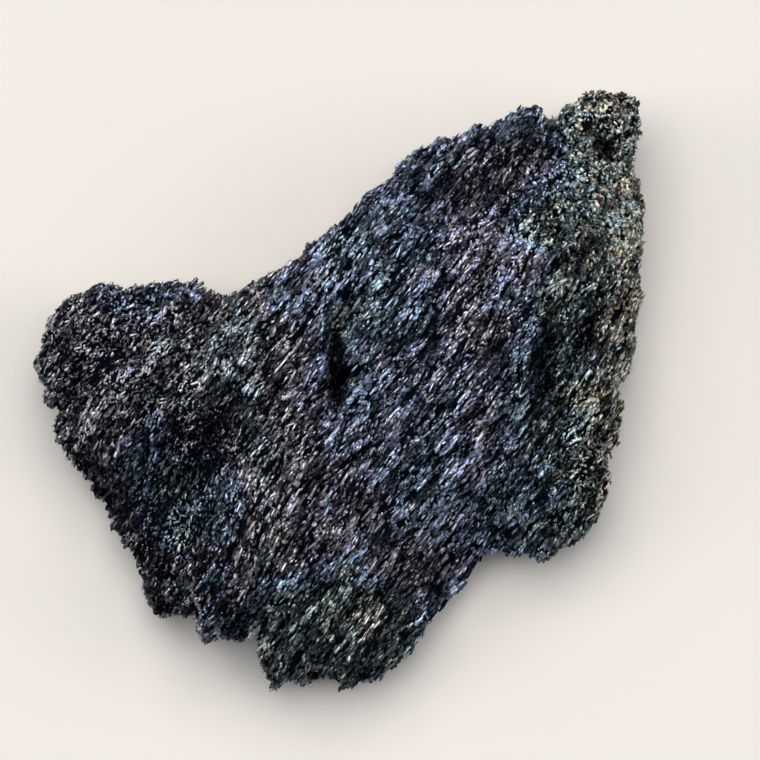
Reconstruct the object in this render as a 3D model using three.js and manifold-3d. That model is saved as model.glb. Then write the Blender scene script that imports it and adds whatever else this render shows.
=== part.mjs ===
// A chunk of silicon carbide (carborundum) as it breaks from a furnace crust: one grown mass, a little
// over 100 mm across, lying on its flattest broken side. Millimetres, +Z up, origin under the middle of the
// chunk on the surface that it rests on. Seen from above, +Y is the far side and +X the right.
//
// The body starts as a subdivided octahedron. Its equator follows the chunk's outline, its upper half is
// lifted to the lobes and hollows of the top, and its lower half is drawn in to the underside. The skin is
// then broken up into ridges that run with the grain, and a cut at Z = 0 leaves the flat resting face.

import * as THREE from "three";
import { mergeVertices } from "three/addons/utils/BufferGeometryUtils.js";
import { TessellateModifier } from "three/addons/modifiers/TessellateModifier.js";
import { ImprovedNoise } from "three/addons/math/ImprovedNoise.js";
import Module from "manifold-3d";

// The crystals grew side by side in one direction, seen from above as this angle from +X.
const GRAIN_ANGLE = THREE.MathUtils.degToRad(50);

// The outline at its widest, anticlockwise from the middle of the right side. There is one point for each
// vertex of the octahedron's equator, so their count is a multiple of four.
const OUTLINE = [
  // right side, up to the far corner
  [52.6, 3.6], [53.6, 7.0], [53.2, 10.6], [53.8, 14.0], [54.8, 17.4], [53.8, 21.0], [54.0, 25.0],
  [54.2, 29.0], [54.7, 33.0], [54.0, 36.4], [54.2, 38.8], [52.4, 40.6], [53.6, 43.8], [53.6, 47.0],
  [54.4, 49.8], [53.4, 52.4],
  // far corner knob and the spike beside it
  [51.4, 53.3], [49.2, 52.0], [47.8, 54.4], [44.4, 53.0], [42.2, 51.0], [40.6, 48.8], [37.4, 48.9],
  [36.2, 48.4], [35.6, 51.1],
  // long far edge, down to the saddle
  [32.4, 49.8], [29.4, 48.5], [26.6, 46.8], [24.4, 47.4], [21.0, 46.0], [17.6, 44.6], [14.0, 42.8],
  [11.8, 41.0], [9.8, 38.2], [8.0, 36.2], [6.0, 36.4], [3.8, 33.6], [1.6, 31.2], [-1.4, 28.4],
  [-5.2, 25.9], [-7.4, 22.9], [-10.2, 21.9], [-13.4, 19.8], [-16.8, 18.0], [-20.2, 16.3], [-22.6, 17.0],
  // left lobe
  [-24.6, 18.6], [-26.0, 19.8], [-28.4, 19.2], [-30.3, 20.1], [-33.8, 18.6], [-37.2, 19.2],
  [-39.8, 18.5], [-41.8, 19.6], [-44.6, 17.8], [-48.2, 16.4], [-50.8, 14.4], [-52.4, 11.6],
  [-53.4, 8.0], [-54.8, 4.6], [-53.6, 2.8], [-52.8, 0.2], [-52.2, -2.2], [-50.6, -2.8], [-50.4, -4.6],
  [-51.0, -6.8], [-50.0, -9.8], [-48.0, -13.2],
  // near left edge
  [-45.6, -15.4], [-44.2, -18.0], [-42.8, -20.6], [-40.8, -24.6], [-38.4, -28.0], [-36.6, -31.4],
  [-35.7, -34.6], [-34.2, -37.4], [-32.6, -40.2], [-29.8, -40.2], [-27.8, -40.6], [-26.2, -40.2],
  [-25.2, -42.4], [-23.4, -45.6], [-21.4, -43.8], [-18.8, -44.8], [-16.0, -43.8], [-13.7, -43.2],
  // near lobe
  [-14.4, -47.2], [-12.9, -50.4], [-11.6, -54.2], [-8.4, -52.2], [-6.0, -53.0], [-3.4, -52.4],
  [-0.2, -52.4], [1.2, -54.4], [4.4, -52.9], [7.4, -52.2], [10.4, -49.6], [13.2, -46.4], [15.8, -42.8],
  [19.4, -39.6], [22.8, -35.8], [25.6, -32.0], [28.4, -27.8],
  // near right lobe, back to the start
  [31.0, -29.6], [34.2, -29.6], [36.6, -31.0], [40.0, -28.9], [42.6, -27.0], [44.6, -25.8],
  [46.8, -23.2], [48.2, -19.8], [49.0, -16.6], [47.7, -13.2], [48.2, -10.6], [50.2, -9.8], [50.9, -7.6],
  [51.2, -4.4], [51.9, -3.0], [51.0, -0.6], [51.4, 1.2],
].map(([x, y]) => new THREE.Vector2(x, y));
const EDGES = OUTLINE.map((corner, i) => [corner, OUTLINE[(i + 1) % OUTLINE.length]]);

// Lobes that grew together into the top surface. Each is a rounded cap: its middle, its top, its half
// length and half width, the angle of its length in degrees, how far it has fallen at that half length or
// width, and the power that it falls by, which is higher for a squarer shoulder.
const LOBES = [
  { at: [-38, 5], top: 31, half: [21, 14], turn: 20, fall: 6, square: 4 }, // left lobe
  { at: [20, 14], top: 46, half: [48, 19], turn: 57, fall: 9, square: 5 }, // main lobe
  { at: [-9, 9], top: 37, half: [22, 13], turn: 48, fall: 7, square: 3 }, // shelf left of the main lobe
  { at: [-4, -20], top: 39, half: [34, 14], turn: 62, fall: 8, square: 4 }, // near ridge
  { at: [-2, -43], top: 28, half: [16, 13], turn: 40, fall: 8, square: 2 }, // near lobe
  { at: [-32, -21], top: 19, half: [24, 14], turn: 62, fall: 6, square: 2 }, // low slope at the near left
  { at: [46, -6], top: 28, half: [26, 9], turn: 84, fall: 6, square: 2 }, // shelf on the right
  { at: [47, 36], top: 36, half: [22, 10], turn: 82, fall: 8, square: 2 }, // far right shoulder
  { at: [37, -15], top: 27, half: [17, 12], turn: 62, fall: 5, square: 3 }, // near right lobe
];
const LOBE_BLEND = 1.2; // how softly the lobes run into each other where they meet
const LOWEST_TOP = 17; // the top surface is nowhere lower than this before the hollows

// Hollows sunk into the top between the lobes, each along a line: its two ends, half width and depth.
const HOLLOWS = [
  { from: [1.8, 15.5], to: [0.4, -1], width: 2.5, depth: 14 }, // deep pocket beside the main lobe
  { from: [2.6, 22], to: [2.0, 20], width: 2, depth: 5 }, // small pit above it
  { from: [-18, -2], to: [-22, -12], width: 4.2, depth: 8 }, // foot of the left lobe
  { from: [-25, -14], to: [-38, -20], width: 4, depth: 3.5 },
  { from: [-23, -21], to: [-18, -37], width: 2.8, depth: 7 }, // crease down to the near edge
  { from: [8, 29], to: [24, 37.5], width: 3.2, depth: 4.5 }, // trough inside the far edge
  { from: [24, 37.5], to: [40, 43.5], width: 2.6, depth: 4 },
  { from: [42, 19], to: [39.5, 2], width: 4.2, depth: 12 }, // foot of the main lobe on the right
  { from: [34.5, -8], to: [29.5, -25], width: 2.8, depth: 3.5 }, // its lower end
  { from: [47.4, 42.6], to: [48.6, 44.4], width: 2.6, depth: 8 }, // pit in the far corner
  { from: [-30, 5.4], to: [-31, 3.6], width: 1.5, depth: 3 }, // pit in the left lobe
  { from: [-48.4, 1], to: [-46.6, -5], width: 1.6, depth: 2.5 }, // groove inside the left edge
];

const RIM_SHARE = 0.46; // height of the widest line, as a share of the top above it
const RIM_SWAY = 7; // how far the widest line wanders up and down
const RIM_SWAY_SIZE = 9; // distance between its rises
const SHOULDER = 9; // distance in from the outline over which the top rounds down to the widest line
const UNDERCUT = 16; // the same below it, down to the resting face
const SHOULDER_SWAY = 0.35; // how much these two distances vary along the edge, as a share
const SOLE_CUT = 1.6; // how much of the underside the flat resting face takes off
const LONGEST_EDGE = 5.2; // edges longer than this are halved before the ridges are raised
const RELAX_STEPS = 40; // rounds of smoothing that even out the body's triangles

// Ridges of the skin: how far apart they stand and how high.
const RIDGES = [
  { size: 11, height: 1.4 },
  { size: 5, height: 1.1 },
];
const GRAIN_STRETCH = 2.2; // length of a ridge over its width
const RIDGE_CREST = 0.7; // share of a ridge's height that stands out from the skin
const RIDGE_DROP = 2.4; // fall from the crest to the deepest groove, in ridge heights
const SIDE_ROUGHNESS = 1.1; // how much higher the ridges are on a vertical side than on the top

// The noise is 0 at whole numbers, so it is moved off them. Each use of it has a layer of its own.
const NOISE_SHIFT = [7.3, 3.1, 1.7];
const NOISE_GAIN = 1.6;
const RIM_LAYER = 20;
const SHOULDER_LAYER = 60;

const GROUND = { width: 200, depth: 40 }; // the block under Z = 0 that is cut away

const plan = (x, y) => new THREE.Vector2(x, y);
const turn = (point, degrees) => point.rotateAround(plan(0, 0), THREE.MathUtils.degToRad(degrees));

// Distance from a point to the line between two others.
function distanceToLine(point, from, to) {
  const [dx, dy] = [to.x - from.x, to.y - from.y];
  const [px, py] = [point.x - from.x, point.y - from.y];
  const share = THREE.MathUtils.clamp((px * dx + py * dy) / (dx * dx + dy * dy), 0, 1);
  return Math.hypot(px - share * dx, py - share * dy);
}

function distanceToOutline(point) {
  return Math.min(...EDGES.map(([from, to]) => distanceToLine(point, from, to)));
}

function isInsideOutline({ x, y }) {
  const crossed = EDGES.filter(([from, to]) => {
    const lean = (to.x - from.x) / (to.y - from.y);
    return from.y > y !== to.y > y && x < from.x + lean * (y - from.y);
  });
  return crossed.length % 2 === 1;
}

// A quarter circle that rises from 0 at the outline to 1 at one radius in from it.
function rounded(distance, radius) {
  const left = 1 - Math.min(distance / radius, 1);
  return Math.sqrt(1 - left * left);
}

const noise = new ImprovedNoise();

// Noise that is longer along the grain, about 1 either way.
function grainNoise(x, y, z, size) {
  const along = x * Math.cos(GRAIN_ANGLE) + y * Math.sin(GRAIN_ANGLE);
  const across = y * Math.cos(GRAIN_ANGLE) - x * Math.sin(GRAIN_ANGLE);
  const [a, b, c] = NOISE_SHIFT;
  return NOISE_GAIN * noise.noise(along / (GRAIN_STRETCH * size) + a, across / size + b, z / size + c);
}

function lobeHeight(lobe, point) {
  const [length, width] = lobe.half;
  const turned = turn(point.clone().sub(plan(...lobe.at)), -lobe.turn);
  const out = Math.hypot(turned.x / length, turned.y / width);
  return lobe.top - lobe.fall * out ** lobe.square;
}

// How far below the lobes the bottom of the hollows lies.
function hollowDepth(point) {
  const depths = HOLLOWS.map(({ from, to, width, depth }) => {
    const off = distanceToLine(point, plan(...from), plan(...to)) / width;
    return depth * Math.exp(-(off ** 3));
  });
  return Math.max(...depths);
}

// The top surface away from the edge: the highest of the lobes, blended where they meet.
function topHeight(point) {
  const sum = LOBES.reduce((total, lobe) => total + Math.exp(lobeHeight(lobe, point) / LOBE_BLEND), 0);
  return Math.max(LOBE_BLEND * Math.log(sum), LOWEST_TOP);
}

// Height of the body over a point of its plan. Level is 1 on the upper half, 0 on the equator, -1 below.
function heightAt(point, level) {
  const inward = level === 0 ? 0 : distanceToOutline(point);
  const top = topHeight(point);
  const rim = RIM_SHARE * top + RIM_SWAY * grainNoise(point.x, point.y, RIM_LAYER, RIM_SWAY_SIZE);
  const uneven = 1 + SHOULDER_SWAY * grainNoise(point.x, point.y, SHOULDER_LAYER, RIM_SWAY_SIZE);
  if (level < 0) return rim * (1 - rounded(inward, UNDERCUT * uneven)) - SOLE_CUT;
  return rim + (top - hollowDepth(point) - rim) * rounded(inward, SHOULDER * uneven);
}

// A vertex of the octahedron's plan, laid on the outline and drawn in towards the middle by its ring.
function planOf(x, y) {
  const ring = Math.abs(x) + Math.abs(y);
  if (ring < 1e-6) return plan(0, 0);
  const quarter = y >= 0 && x > 0 ? 0 : x <= 0 && y > 0 ? 1 : x < 0 && y <= 0 ? 2 : 3;
  const share = (quarter % 2 ? Math.abs(x) : Math.abs(y)) / ring;
  const place = ((quarter + share) / 4) * OUTLINE.length;
  const corner = Math.floor(place + 1e-6);
  const [from, to] = [OUTLINE[corner % OUTLINE.length], OUTLINE[(corner + 1) % OUTLINE.length]];
  return from.clone().lerp(to, Math.max(place - corner, 0)).multiplyScalar(ring);
}

// Moves each vertex inside the outline towards its farther neighbours, many times over, so that the steep
// sides get as many triangles as they need.
function relax(places, levels, index) {
  const neighbours = places.map(() => new Set());
  for (let i = 0; i < index.length; i += 3)
    for (let k = 0; k < 3; k++) {
      neighbours[index[i + k]].add(index[i + ((k + 1) % 3)]);
      neighbours[index[i + ((k + 1) % 3)]].add(index[i + k]);
    }
  for (let step = 0; step < RELAX_STEPS; step++) {
    const heights = places.map((place, i) => heightAt(place, levels[i]));
    places.forEach((place, i) => {
      if (levels[i] === 0) return;
      const pull = plan(0, 0);
      let total = 0;
      for (const n of neighbours[i]) {
        const weight = Math.hypot(places[n].x - place.x, places[n].y - place.y, heights[n] - heights[i]);
        pull.addScaledVector(places[n], weight);
        total += weight;
      }
      if (isInsideOutline(pull.divideScalar(total))) place.copy(pull);
    });
  }
}

function ridgeHeight(place) {
  const heights = RIDGES.map(
    ({ size, height }) => height * (RIDGE_CREST - RIDGE_DROP * Math.abs(grainNoise(...place, size))),
  );
  return heights.reduce((sum, height) => sum + height);
}

// Pushes the skin in and out into ridges, deeper on the steep sides, without passing the outline.
function roughen(geometry) {
  geometry.computeVertexNormals();
  const position = geometry.getAttribute("position");
  const normals = geometry.getAttribute("normal");
  for (let i = 0; i < position.count; i++) {
    const place = new THREE.Vector3().fromBufferAttribute(position, i);
    const push = new THREE.Vector3().fromBufferAttribute(normals, i);
    const steep = Math.hypot(push.x, push.y);
    push.multiplyScalar((1 + SIDE_ROUGHNESS * steep) * ridgeHeight(place));
    const room = 0.8 * distanceToOutline(place);
    const outward = push.dot(place) > 0 ? Math.min(1, room / (push.length() * steep + 1e-6)) : 1;
    const sideways = room < 0.01 ? 0 : outward;
    position.setXYZ(i, place.x + sideways * push.x, place.y + sideways * push.y, place.z + push.z);
  }
  geometry.deleteAttribute("normal");
}

// The body before the resting face is cut, as one closed geometry.
function bodyGeometry() {
  const geometry = bare(new THREE.OctahedronGeometry(1, OUTLINE.length / 4 - 1));
  const position = geometry.getAttribute("position");
  const places = [];
  const levels = [];
  for (let i = 0; i < position.count; i++) {
    const corner = new THREE.Vector3().fromBufferAttribute(position, i);
    corner.divideScalar(corner.manhattanLength());
    places.push(planOf(corner.x, corner.y));
    levels.push(Math.abs(corner.z) < 1e-4 ? 0 : Math.sign(corner.z));
  }
  relax(places, levels, geometry.index.array);
  places.forEach((place, i) => position.setXYZ(i, place.x, place.y, heightAt(place, levels[i])));
  const even = bare(new TessellateModifier(LONGEST_EDGE, 12).modify(geometry));
  roughen(even);
  return even;
}

// A geometry with only its positions, its shared corners merged.
function bare(geometry) {
  geometry.deleteAttribute("normal");
  geometry.deleteAttribute("uv");
  return mergeVertices(geometry, 1e-5);
}

function asSolid(geometry) {
  return new wasm.Manifold(
    new wasm.Mesh({
      numProp: 3,
      vertProperties: new Float32Array(geometry.getAttribute("position").array),
      triVerts: new Uint32Array(geometry.index.array),
    }),
  );
}

function asGeometry(solid) {
  const { vertProperties, triVerts } = solid.getMesh();
  const geometry = new THREE.BufferGeometry();
  geometry.setAttribute("position", new THREE.BufferAttribute(vertProperties, 3));
  geometry.setIndex(new THREE.BufferAttribute(triVerts, 1));
  geometry.computeVertexNormals();
  return geometry;
}

const wasm = await Module();
wasm.setup();

const ground = new THREE.BoxGeometry(GROUND.width, GROUND.width, GROUND.depth);
ground.translate(0, 0, -GROUND.depth / 2);
const body = asSolid(bodyGeometry()).subtract(asSolid(bare(ground)));

const crystal = new THREE.MeshStandardMaterial({ color: 0x3c4048, roughness: 0.42, metalness: 0.35 });
const chunk = new THREE.Mesh(asGeometry(body), crystal);
chunk.name = "silicon_carbide_chunk";

const part = new THREE.Group();
part.add(chunk);

export default part;
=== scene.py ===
"""A silicon carbide chunk: a craggy mass from a furnace under a crust of crystals that grew one way."""

import itertools
import logging
import math
from collections.abc import Callable
from dataclasses import dataclass, field
from enum import Enum
from typing import Any

import bmesh
import bpy
import numpy as np
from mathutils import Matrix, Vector
from mathutils.bvhtree import BVHTree


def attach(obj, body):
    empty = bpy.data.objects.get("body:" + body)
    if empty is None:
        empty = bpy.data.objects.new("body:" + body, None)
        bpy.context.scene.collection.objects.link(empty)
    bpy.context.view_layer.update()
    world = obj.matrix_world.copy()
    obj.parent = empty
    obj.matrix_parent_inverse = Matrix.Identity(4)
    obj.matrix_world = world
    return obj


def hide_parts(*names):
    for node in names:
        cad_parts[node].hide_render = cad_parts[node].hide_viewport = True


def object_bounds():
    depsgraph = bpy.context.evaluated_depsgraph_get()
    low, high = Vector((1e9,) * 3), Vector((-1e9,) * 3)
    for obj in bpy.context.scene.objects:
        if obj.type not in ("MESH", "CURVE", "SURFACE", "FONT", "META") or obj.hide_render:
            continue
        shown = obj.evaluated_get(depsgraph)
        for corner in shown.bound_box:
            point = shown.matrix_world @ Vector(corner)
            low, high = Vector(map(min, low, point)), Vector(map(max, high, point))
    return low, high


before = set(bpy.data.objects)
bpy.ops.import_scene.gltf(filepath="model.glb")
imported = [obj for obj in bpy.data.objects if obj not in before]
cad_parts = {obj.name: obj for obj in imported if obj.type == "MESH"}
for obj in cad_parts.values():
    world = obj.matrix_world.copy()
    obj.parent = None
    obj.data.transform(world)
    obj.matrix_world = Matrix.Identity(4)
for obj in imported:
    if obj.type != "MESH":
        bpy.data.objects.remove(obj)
CAD_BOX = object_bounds()

MM = 0.001
TINY = 1e-12
NODE = "silicon_carbide_chunk"
BODY = "root"
LOG = logging.getLogger("silicon_carbide_chunk")


# ---------------------------------------------------------------- helpers


def linear(hex_colour: str) -> tuple[float, float, float, float]:
    """Turns an sRGB hex colour to linear light, by the standard curve.

    Args:
        hex_colour: six hex digits, such as "7c7c80".

    Returns:
        Red, green, blue and an alpha of 1.
    """
    parts = [int(hex_colour[i:i + 2], 16) / 255 for i in (0, 2, 4)]
    lit = [c / 12.92 if c <= 0.04045 else ((c + 0.055) / 1.055) ** 2.4 for c in parts]
    return lit[0], lit[1], lit[2], 1.0


def add_node(tree: bpy.types.NodeTree, kind: str, settings: dict[Any, Any] | None = None,
             links: dict[Any, Any] | None = None) -> bpy.types.Node:
    """Adds a node to a tree.

    Args:
        tree: the material's or world's node tree.
        kind: the node's type name.
        settings: values by input socket or by property; "stops" fills a colour ramp.
        links: the output socket that feeds each input socket.

    Returns:
        The new node.
    """
    node = tree.nodes.new(kind)
    for name, value in (settings or {}).items():
        if name == "stops":
            while len(node.color_ramp.elements) < len(value):
                node.color_ramp.elements.new(1.0)
            for element, (place, colour) in zip(node.color_ramp.elements, value):
                element.position = place
                element.color = colour
        elif isinstance(name, int) or name in node.inputs:
            node.inputs[name].default_value = value
        else:
            setattr(node, name, value)
    for name, source in (links or {}).items():
        tree.links.new(source, node.inputs[name])
    return node


def new_material(name: str) -> bpy.types.Material:
    """Makes a material with nothing in its node tree.

    Args:
        name: the material's name.

    Returns:
        The material.
    """
    made = bpy.data.materials.new(name)
    made.use_nodes = True
    made.node_tree.nodes.clear()
    return made


def unit(vectors: np.ndarray) -> np.ndarray:
    """Scales each row to length 1."""
    return vectors / np.maximum(np.linalg.norm(vectors, axis=-1, keepdims=True), TINY)


def dots(a: np.ndarray, b: np.ndarray) -> np.ndarray:
    """Dot product of each pair of rows, as a column."""
    return (a * b).sum(-1, keepdims=True)


def eased(share: np.ndarray) -> np.ndarray:
    """Eases shares from 0 to 1 along a smooth step, so that few places lie halfway."""
    return share ** 2 * (3 - 2 * share)


class Noise:
    """Seeded, smooth gradient noise in space, mostly between -1 and 1. Its lumps are about 1 across."""

    SIZE = 256
    GAIN = 1.7

    def __init__(self, seed: int) -> None:
        """Draws the noise's order and slopes.

        Args:
            seed: the same seed gives the same noise.
        """
        draw = np.random.default_rng(seed)
        self.order = np.tile(draw.permutation(self.SIZE), 3)
        self.slopes = unit(draw.normal(size=(self.SIZE, 3)))

    def at(self, places: np.ndarray) -> np.ndarray:
        """Reads the noise, which blends each cell's corners along a smooth curve.

        Args:
            places: one row of three coordinates for each value wanted.

        Returns:
            One value for each row.
        """
        cell = np.floor(places).astype(int)
        part = places - cell
        cell %= self.SIZE
        fade = part ** 3 * (part * (part * 6 - 15) + 10)
        total = np.zeros(len(places))
        for corner in itertools.product((0, 1), repeat=3):
            x, y, z = (cell + corner).T
            pick = self.order[self.order[self.order[x] + y] + z]
            share = np.where(corner, fade, 1 - fade).prod(1)
            total += share * ((part - corner) * self.slopes[pick]).sum(1)
        return total * self.GAIN


def new_mesh(name: str, points: np.ndarray, faces: np.ndarray) -> bpy.types.Mesh:
    """Makes a mesh of triangles.

    Args:
        name: the mesh's name.
        points: one row for each vertex, in metres.
        faces: three vertex numbers for each triangle.

    Returns:
        The new mesh.
    """
    mesh = bpy.data.meshes.new(name)
    mesh.vertices.add(len(points))
    mesh.vertices.foreach_set("co", points.astype(np.float32).ravel())
    mesh.loops.add(faces.size)
    mesh.loops.foreach_set("vertex_index", faces.astype(np.int32).ravel())
    mesh.polygons.add(len(faces))
    mesh.polygons.foreach_set("loop_start", np.arange(0, faces.size, 3, dtype=np.int32))
    mesh.update(calc_edges=True)
    return mesh


def add_values(mesh: bpy.types.Mesh, name: str, values: np.ndarray) -> None:
    """Stores one number for each vertex, for the mesh's material to read."""
    mesh.attributes.new(name, "FLOAT", "POINT").data.foreach_set("value", values.astype(np.float32))


def add_bake_map(mesh: bpy.types.Mesh, corners: np.ndarray) -> None:
    """Gives the mesh a flat map, with one row of two coordinates for each face corner."""
    mesh.uv_layers.new(name="OFBake").data.foreach_set("uv", corners.astype(np.float32).ravel())


def put_in_scene(name: str, data: bpy.types.ID) -> bpy.types.Object:
    """Makes an object and links it to the scene.

    Args:
        name: the object's name.
        data: its mesh, lamp or camera.

    Returns:
        The object.
    """
    made = bpy.data.objects.new(name, data)
    bpy.context.scene.collection.objects.link(made)
    return made


# ---------------------------------------------------------------- how the chunk grew


@dataclass(frozen=True)
class Zone:
    """A stretch of the chunk that differs from the rest, placed as seen from above, in millimetres.

    It is drawn out by a factor along its heading, in degrees, and a firmer one has a sharper edge.
    """

    x: float
    y: float
    reach: float
    amount: float
    drawn: float = 1.0
    heading: float = 0.0
    firm: float = 1.0

    def weight(self, places: np.ndarray) -> np.ndarray:
        """How much each place belongs to the zone.

        Args:
            places: rows in millimetres.

        Returns:
            Shares from 1 in the zone's middle to 0 far off.
        """
        turn = math.radians(self.heading)
        east, north = places[:, 0] - self.x, places[:, 1] - self.y
        along = (east * math.cos(turn) + north * math.sin(turn)) / (self.reach * self.drawn)
        across = (north * math.cos(turn) - east * math.sin(turn)) / self.reach
        return np.exp(-(along ** 2 + across ** 2) ** self.firm)


@dataclass(frozen=True)
class Growth:
    """The direction in which the crystals grew, and the stretched patterns that follow it.

    Angles are in degrees, anticlockwise from +X, and sizes in millimetres. A zone's amount is the degrees
    that a turn adds to the heading, or the share that a tangle adds to the scatter or a coarser one to the
    size.
    """

    heading: float = 54.0
    sway: float = 4.5
    sway_size: float = 13.0
    sway_seed: int = 3
    climb: float = 0.3
    climb_size: float = 9.0
    climb_seed: int = 4
    bend: float = 1.1
    bend_size: float = 17.0
    bend_seed: int = 5
    turns: tuple[Zone, ...] = (
        Zone(-24, -16, 12, 12),
        Zone(-38, 8, 12, -4),
        Zone(48, 30, 10, 22),
        Zone(46, 6, 9, 10),
        Zone(10, 36, 12, -5),
        Zone(-45, -14, 9, 14),
        Zone(-18, -27, 8, 14),
        Zone(24, -8, 7, -7),
    )
    tangles: tuple[Zone, ...] = (
        Zone(46, 34, 10, 5.0),
        Zone(48, 50, 8, 5.0),
        Zone(46, -14, 7, 2.6),
        Zone(28, 30, 9, 0.8),
        Zone(-40, 11, 12, 1.8),
        Zone(-29, -41, 7, 3.0),
        Zone(-31, -24, 9, 2.0),
        Zone(-24, -7, 6, 2.0),
        Zone(8, -33, 14, -0.5),
        Zone(16, -4, 12, -0.2),
    )
    coarser: tuple[Zone, ...] = (
        Zone(45, 38, 12, 0.3),
        Zone(22, 36, 10, 0.2),
        Zone(3, 10, 10, 0.12),
        Zone(-24, -8, 7, -0.32),
        Zone(-32, -24, 10, -0.28),
        Zone(-43, 2, 12, -0.22),
        Zone(38, 5, 5, -0.2),
    )

    def headings(self, places: np.ndarray) -> np.ndarray:
        """The crystals' heading at each place.

        Args:
            places: rows in millimetres.

        Returns:
            Angles in radians, anticlockwise from +X as seen from above.
        """
        degrees = self.heading + self.sway * Noise(self.sway_seed).at(places / self.sway_size)
        for zone in self.turns:
            degrees = degrees + zone.amount * zone.weight(places)
        return np.radians(degrees)

    def directions(self, places: np.ndarray) -> np.ndarray:
        """Which way the crystals point at each place.

        Args:
            places: rows in millimetres.

        Returns:
            Unit vectors.
        """
        heading = self.headings(places)
        climb = self.climb * Noise(self.climb_seed).at(places / self.climb_size)
        return unit(np.stack([np.cos(heading), np.sin(heading), climb], 1))

    def tangle(self, places: np.ndarray) -> np.ndarray:
        """How much more the crystals scatter at each place than where they lie truest, as a column."""
        return 1.0 + sum(zone.amount * zone.weight(places) for zone in self.tangles)[:, None]

    def coarseness(self, places: np.ndarray) -> np.ndarray:
        """How large the crystals are at each place, against their usual size, as a column."""
        return 1.0 + sum(zone.amount * zone.weight(places) for zone in self.coarser)[:, None]

    def stretched(self, places: np.ndarray, across: float, along: float) -> np.ndarray:
        """Coordinates in which a noise of size 1 is drawn out along the growth.

        Args:
            places: rows in millimetres.
            across: the pattern's size across the growth, in millimetres.
            along: its size along the growth.

        Returns:
            Rows of three coordinates.
        """
        turn = math.radians(self.heading)
        bend = self.bend * Noise(self.bend_seed).at(places / self.bend_size)
        run = places[:, 0] * math.cos(turn) + places[:, 1] * math.sin(turn)
        side = places[:, 1] * math.cos(turn) - places[:, 0] * math.sin(turn) + bend
        return np.stack([run / along, side / across, places[:, 2] / across], 1)

    def streaks(self, places: np.ndarray, pattern: tuple[float, float, float], seed: int) -> np.ndarray:
        """A noise that is drawn out along the growth.

        Args:
            places: rows in millimetres.
            pattern: its size across the growth, its size along it and its strength.
            seed: the same seed gives the same noise.

        Returns:
            One value for each row.
        """
        across, along, strength = pattern
        return strength * Noise(seed).at(self.stretched(places, across, along))


@dataclass
class Surface:
    """A skin of triangles for crystals to grow on, in millimetres.

    Openness says how free each vertex stands: 0 in a cleft and 1 on a crest.
    """

    points: np.ndarray
    normals: np.ndarray
    openness: np.ndarray
    faces: np.ndarray
    tree: BVHTree = field(init=False)

    def __post_init__(self) -> None:
        """Sorts the triangles, so that the one nearest a point is found fast."""
        self.tree = BVHTree.FromPolygons(self.points.tolist(), self.faces.tolist())

    def scatter(self, count: int, draw: np.random.Generator,
                growth_rate: Callable[[np.ndarray, np.ndarray], np.ndarray]) -> np.ndarray:
        """Picks places on the skin at random.

        Args:
            count: how many places.
            draw: the source of chance.
            growth_rate: a function from places and openness to how thickly crystals stand there.

        Returns:
            The places.
        """
        a, b, c = (self.points[self.faces[:, i]] for i in range(3))
        area = np.linalg.norm(np.cross(b - a, c - a), axis=1)
        chance = area * growth_rate((a + b + c) / 3, self.openness[self.faces].mean(1))
        face = draw.choice(len(area), size=count, p=chance / chance.sum())
        u, v = draw.random((2, count, 1))
        over = u + v > 1
        u, v = np.where(over, 1 - u, u), np.where(over, 1 - v, v)
        return (1 - u - v) * a[face] + u * b[face] + v * c[face]

    def settle(self, places: np.ndarray) -> tuple[np.ndarray, np.ndarray, np.ndarray]:
        """Moves places on to the skin.

        Args:
            places: rows in millimetres, near the skin.

        Returns:
            The nearest place on the skin, its normal and its openness.
        """
        found = [self.tree.find_nearest(place) for place in places.tolist()]
        nearest = np.array([tuple(hit[0]) for hit in found])
        corners = self.faces[np.array([hit[2] for hit in found])]
        return nearest, unit(self.normals[corners].mean(1)), self.openness[corners].mean(1)


# ---------------------------------------------------------------- finishes


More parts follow.
